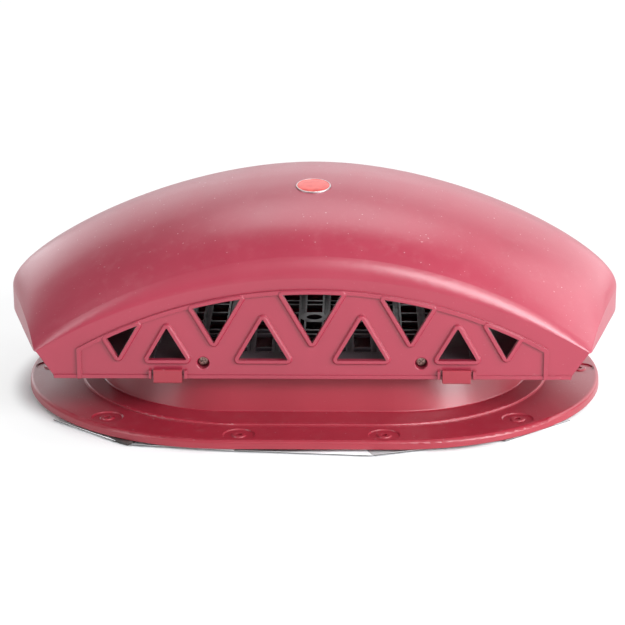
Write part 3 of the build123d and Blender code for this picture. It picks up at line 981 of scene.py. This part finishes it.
@dataclass
class Studio:
    """A white floor and surroundings, soft lamps and the camera."""

    floor_size: float = 12.0
    floor_cloud: Pattern = Pattern(400.0, 2.0)
    floor_low: Colour = (0.86, 0.86, 0.86)
    floor_high: Colour = (0.89, 0.89, 0.89)
    floor_lift: float = 0.74
    print_straight: float = 0.057
    print_r: tuple[float, float] = (0.152, 0.170)
    room_light: float = 0.34
    camera_place: Spot = (0.0238, -1.6016, 0.5715)
    camera_roll: float = -0.1
    camera_back: Spot = (0.01494, -0.95094, 0.30902)
    lens: float = 132.32
    sensor: float = 36.0
    boxes: list[Softbox] = field(default_factory=lambda: [
        Softbox("overhead_box", (0.1, 1.0, 1.9), 1.6, 1.0, 15.0),
        Softbox("back_box", (0.3, 2.4, 0.95), 5.6, 1.5, 34.0),
        Softbox("right_back_box", (1.5, 1.9, 0.42), 1.0, 0.7, 2.0),
        Softbox("left_back_box", (-1.5, 1.9, 0.5), 1.0, 0.8, 4.0),
        Softbox("right_top_box", (1.35, 0.5, 1.1), 1.0, 1.0, 8.0),
        Softbox("right_box", (1.7, -0.6, 0.48), 1.8, 0.7, 19.0),
        Softbox("left_box", (-1.2, -0.6, 0.9), 0.6, 0.6, 4.5),
        Softbox("key_box", (0.82, -1.05, 0.88), 1.3, 0.42, 24.0),
        Softbox("low_box", (1.6, -1.3, 0.28), 0.8, 0.35, 13.0),
        Softbox("low_left_box", (-1.6, -1.0, 0.28), 0.7, 0.35, 3.0),
        Softbox("front_box", (-0.3, -2.2, 1.7), 2.4, 1.6, 3.5),
    ])

    def build(self) -> list[str]:
        """Builds the floor, the surroundings, the lamps and the camera.

        Returns:
            The names of what was built.
        """
        self._floor()
        self._room()
        for box in self.boxes:
            box.hang()
        self._camera()
        bpy.context.scene.view_settings.view_transform = "Standard"
        return ["floor", "room", *(box.name for box in self.boxes), "camera"]

    def _floor(self) -> None:
        """A plain white floor that keeps the vent's shadow, lifted to white round the vent."""
        bpy.ops.object.select_all(action="DESELECT")
        bpy.ops.mesh.primitive_plane_add(size=self.floor_size)
        floor = bpy.context.object
        floor.name = "floor"
        r = Recipe(bpy.data.materials.new("floor_white"))
        white = r.mix(r.noise(self.floor_cloud), self.floor_low, self.floor_high)
        paint = r.node("ShaderNodeBsdfDiffuse", None, {"Color": white})
        glow = r.node("ShaderNodeEmission", None, {"Color": WHITE, "Strength": 1.0})
        across = (r.axis("Position", "X").size() - self.print_straight).at_least(0.0)
        along = r.axis("Position", "Y")
        inner, outer = self.print_r
        outside = (across * across + along * along).step(inner ** 2, outer ** 2)
        lift = self._seen(r, tuple(Ray)) * outside * self.floor_lift
        both = r.node("ShaderNodeMixShader", None, {
            0: lift, 1: paint.outputs[0], 2: glow.outputs[0]})
        r.node("ShaderNodeOutputMaterial", None, {"Surface": both.outputs[0]})
        dress(floor, r.owner)

    @staticmethod
    def _seen(r: Recipe, rays: tuple[Ray, ...]) -> Wire:
        """1 for the rays that see the white surroundings.

        Args:
            r: the recipe to add it to.
            rays: the kinds of those rays.

        Returns:
            The value.
        """
        light = r.node("ShaderNodeLightPath")
        total = sum((Wire(r, light.outputs[ray.value]) for ray in rays), 0.0)
        return total.at_most(1.0)

    def _room(self) -> None:
        """An even white room that lights the vent from all round."""
        world = bpy.data.worlds.new("room")
        bpy.context.scene.world = world
        r = Recipe(world)
        seen = self._seen(r, (Ray.CAMERA, Ray.TRANSMISSION))
        strength = seen * (1.0 - self.room_light) + self.room_light
        light = r.node("ShaderNodeBackground", None, {"Color": WHITE, "Strength": strength})
        r.node("ShaderNodeOutputWorld", None, {"Surface": light.outputs[0]})

    def _camera(self) -> None:
        """The camera, as high and as far off as the photographer's."""
        data = bpy.data.cameras.new("camera")
        data.lens = self.lens
        data.sensor_width = self.sensor
        camera = bpy.data.objects.new("camera", data)
        turn = (-Vector(self.camera_back)).to_track_quat("-Z", "Y").to_matrix().to_4x4()
        roll = Matrix.Rotation(math.radians(self.camera_roll), 4, "Z")
        camera.matrix_world = Matrix.Translation(self.camera_place) @ turn @ roll
        bpy.context.scene.collection.objects.link(camera)
        bpy.context.scene.camera = camera


def main() -> None:
    """Builds the studio and the vent, piece by piece."""
    for part in (Studio(), Hood(), Badge(), Screws(), Base(), Underside()):
        for name in part.build():
            LOG.info("%s: %s", type(part).__name__, name)


if __name__ == "__main__":
    logging.basicConfig(level=logging.INFO, format="%(name)s %(message)s")
    main()
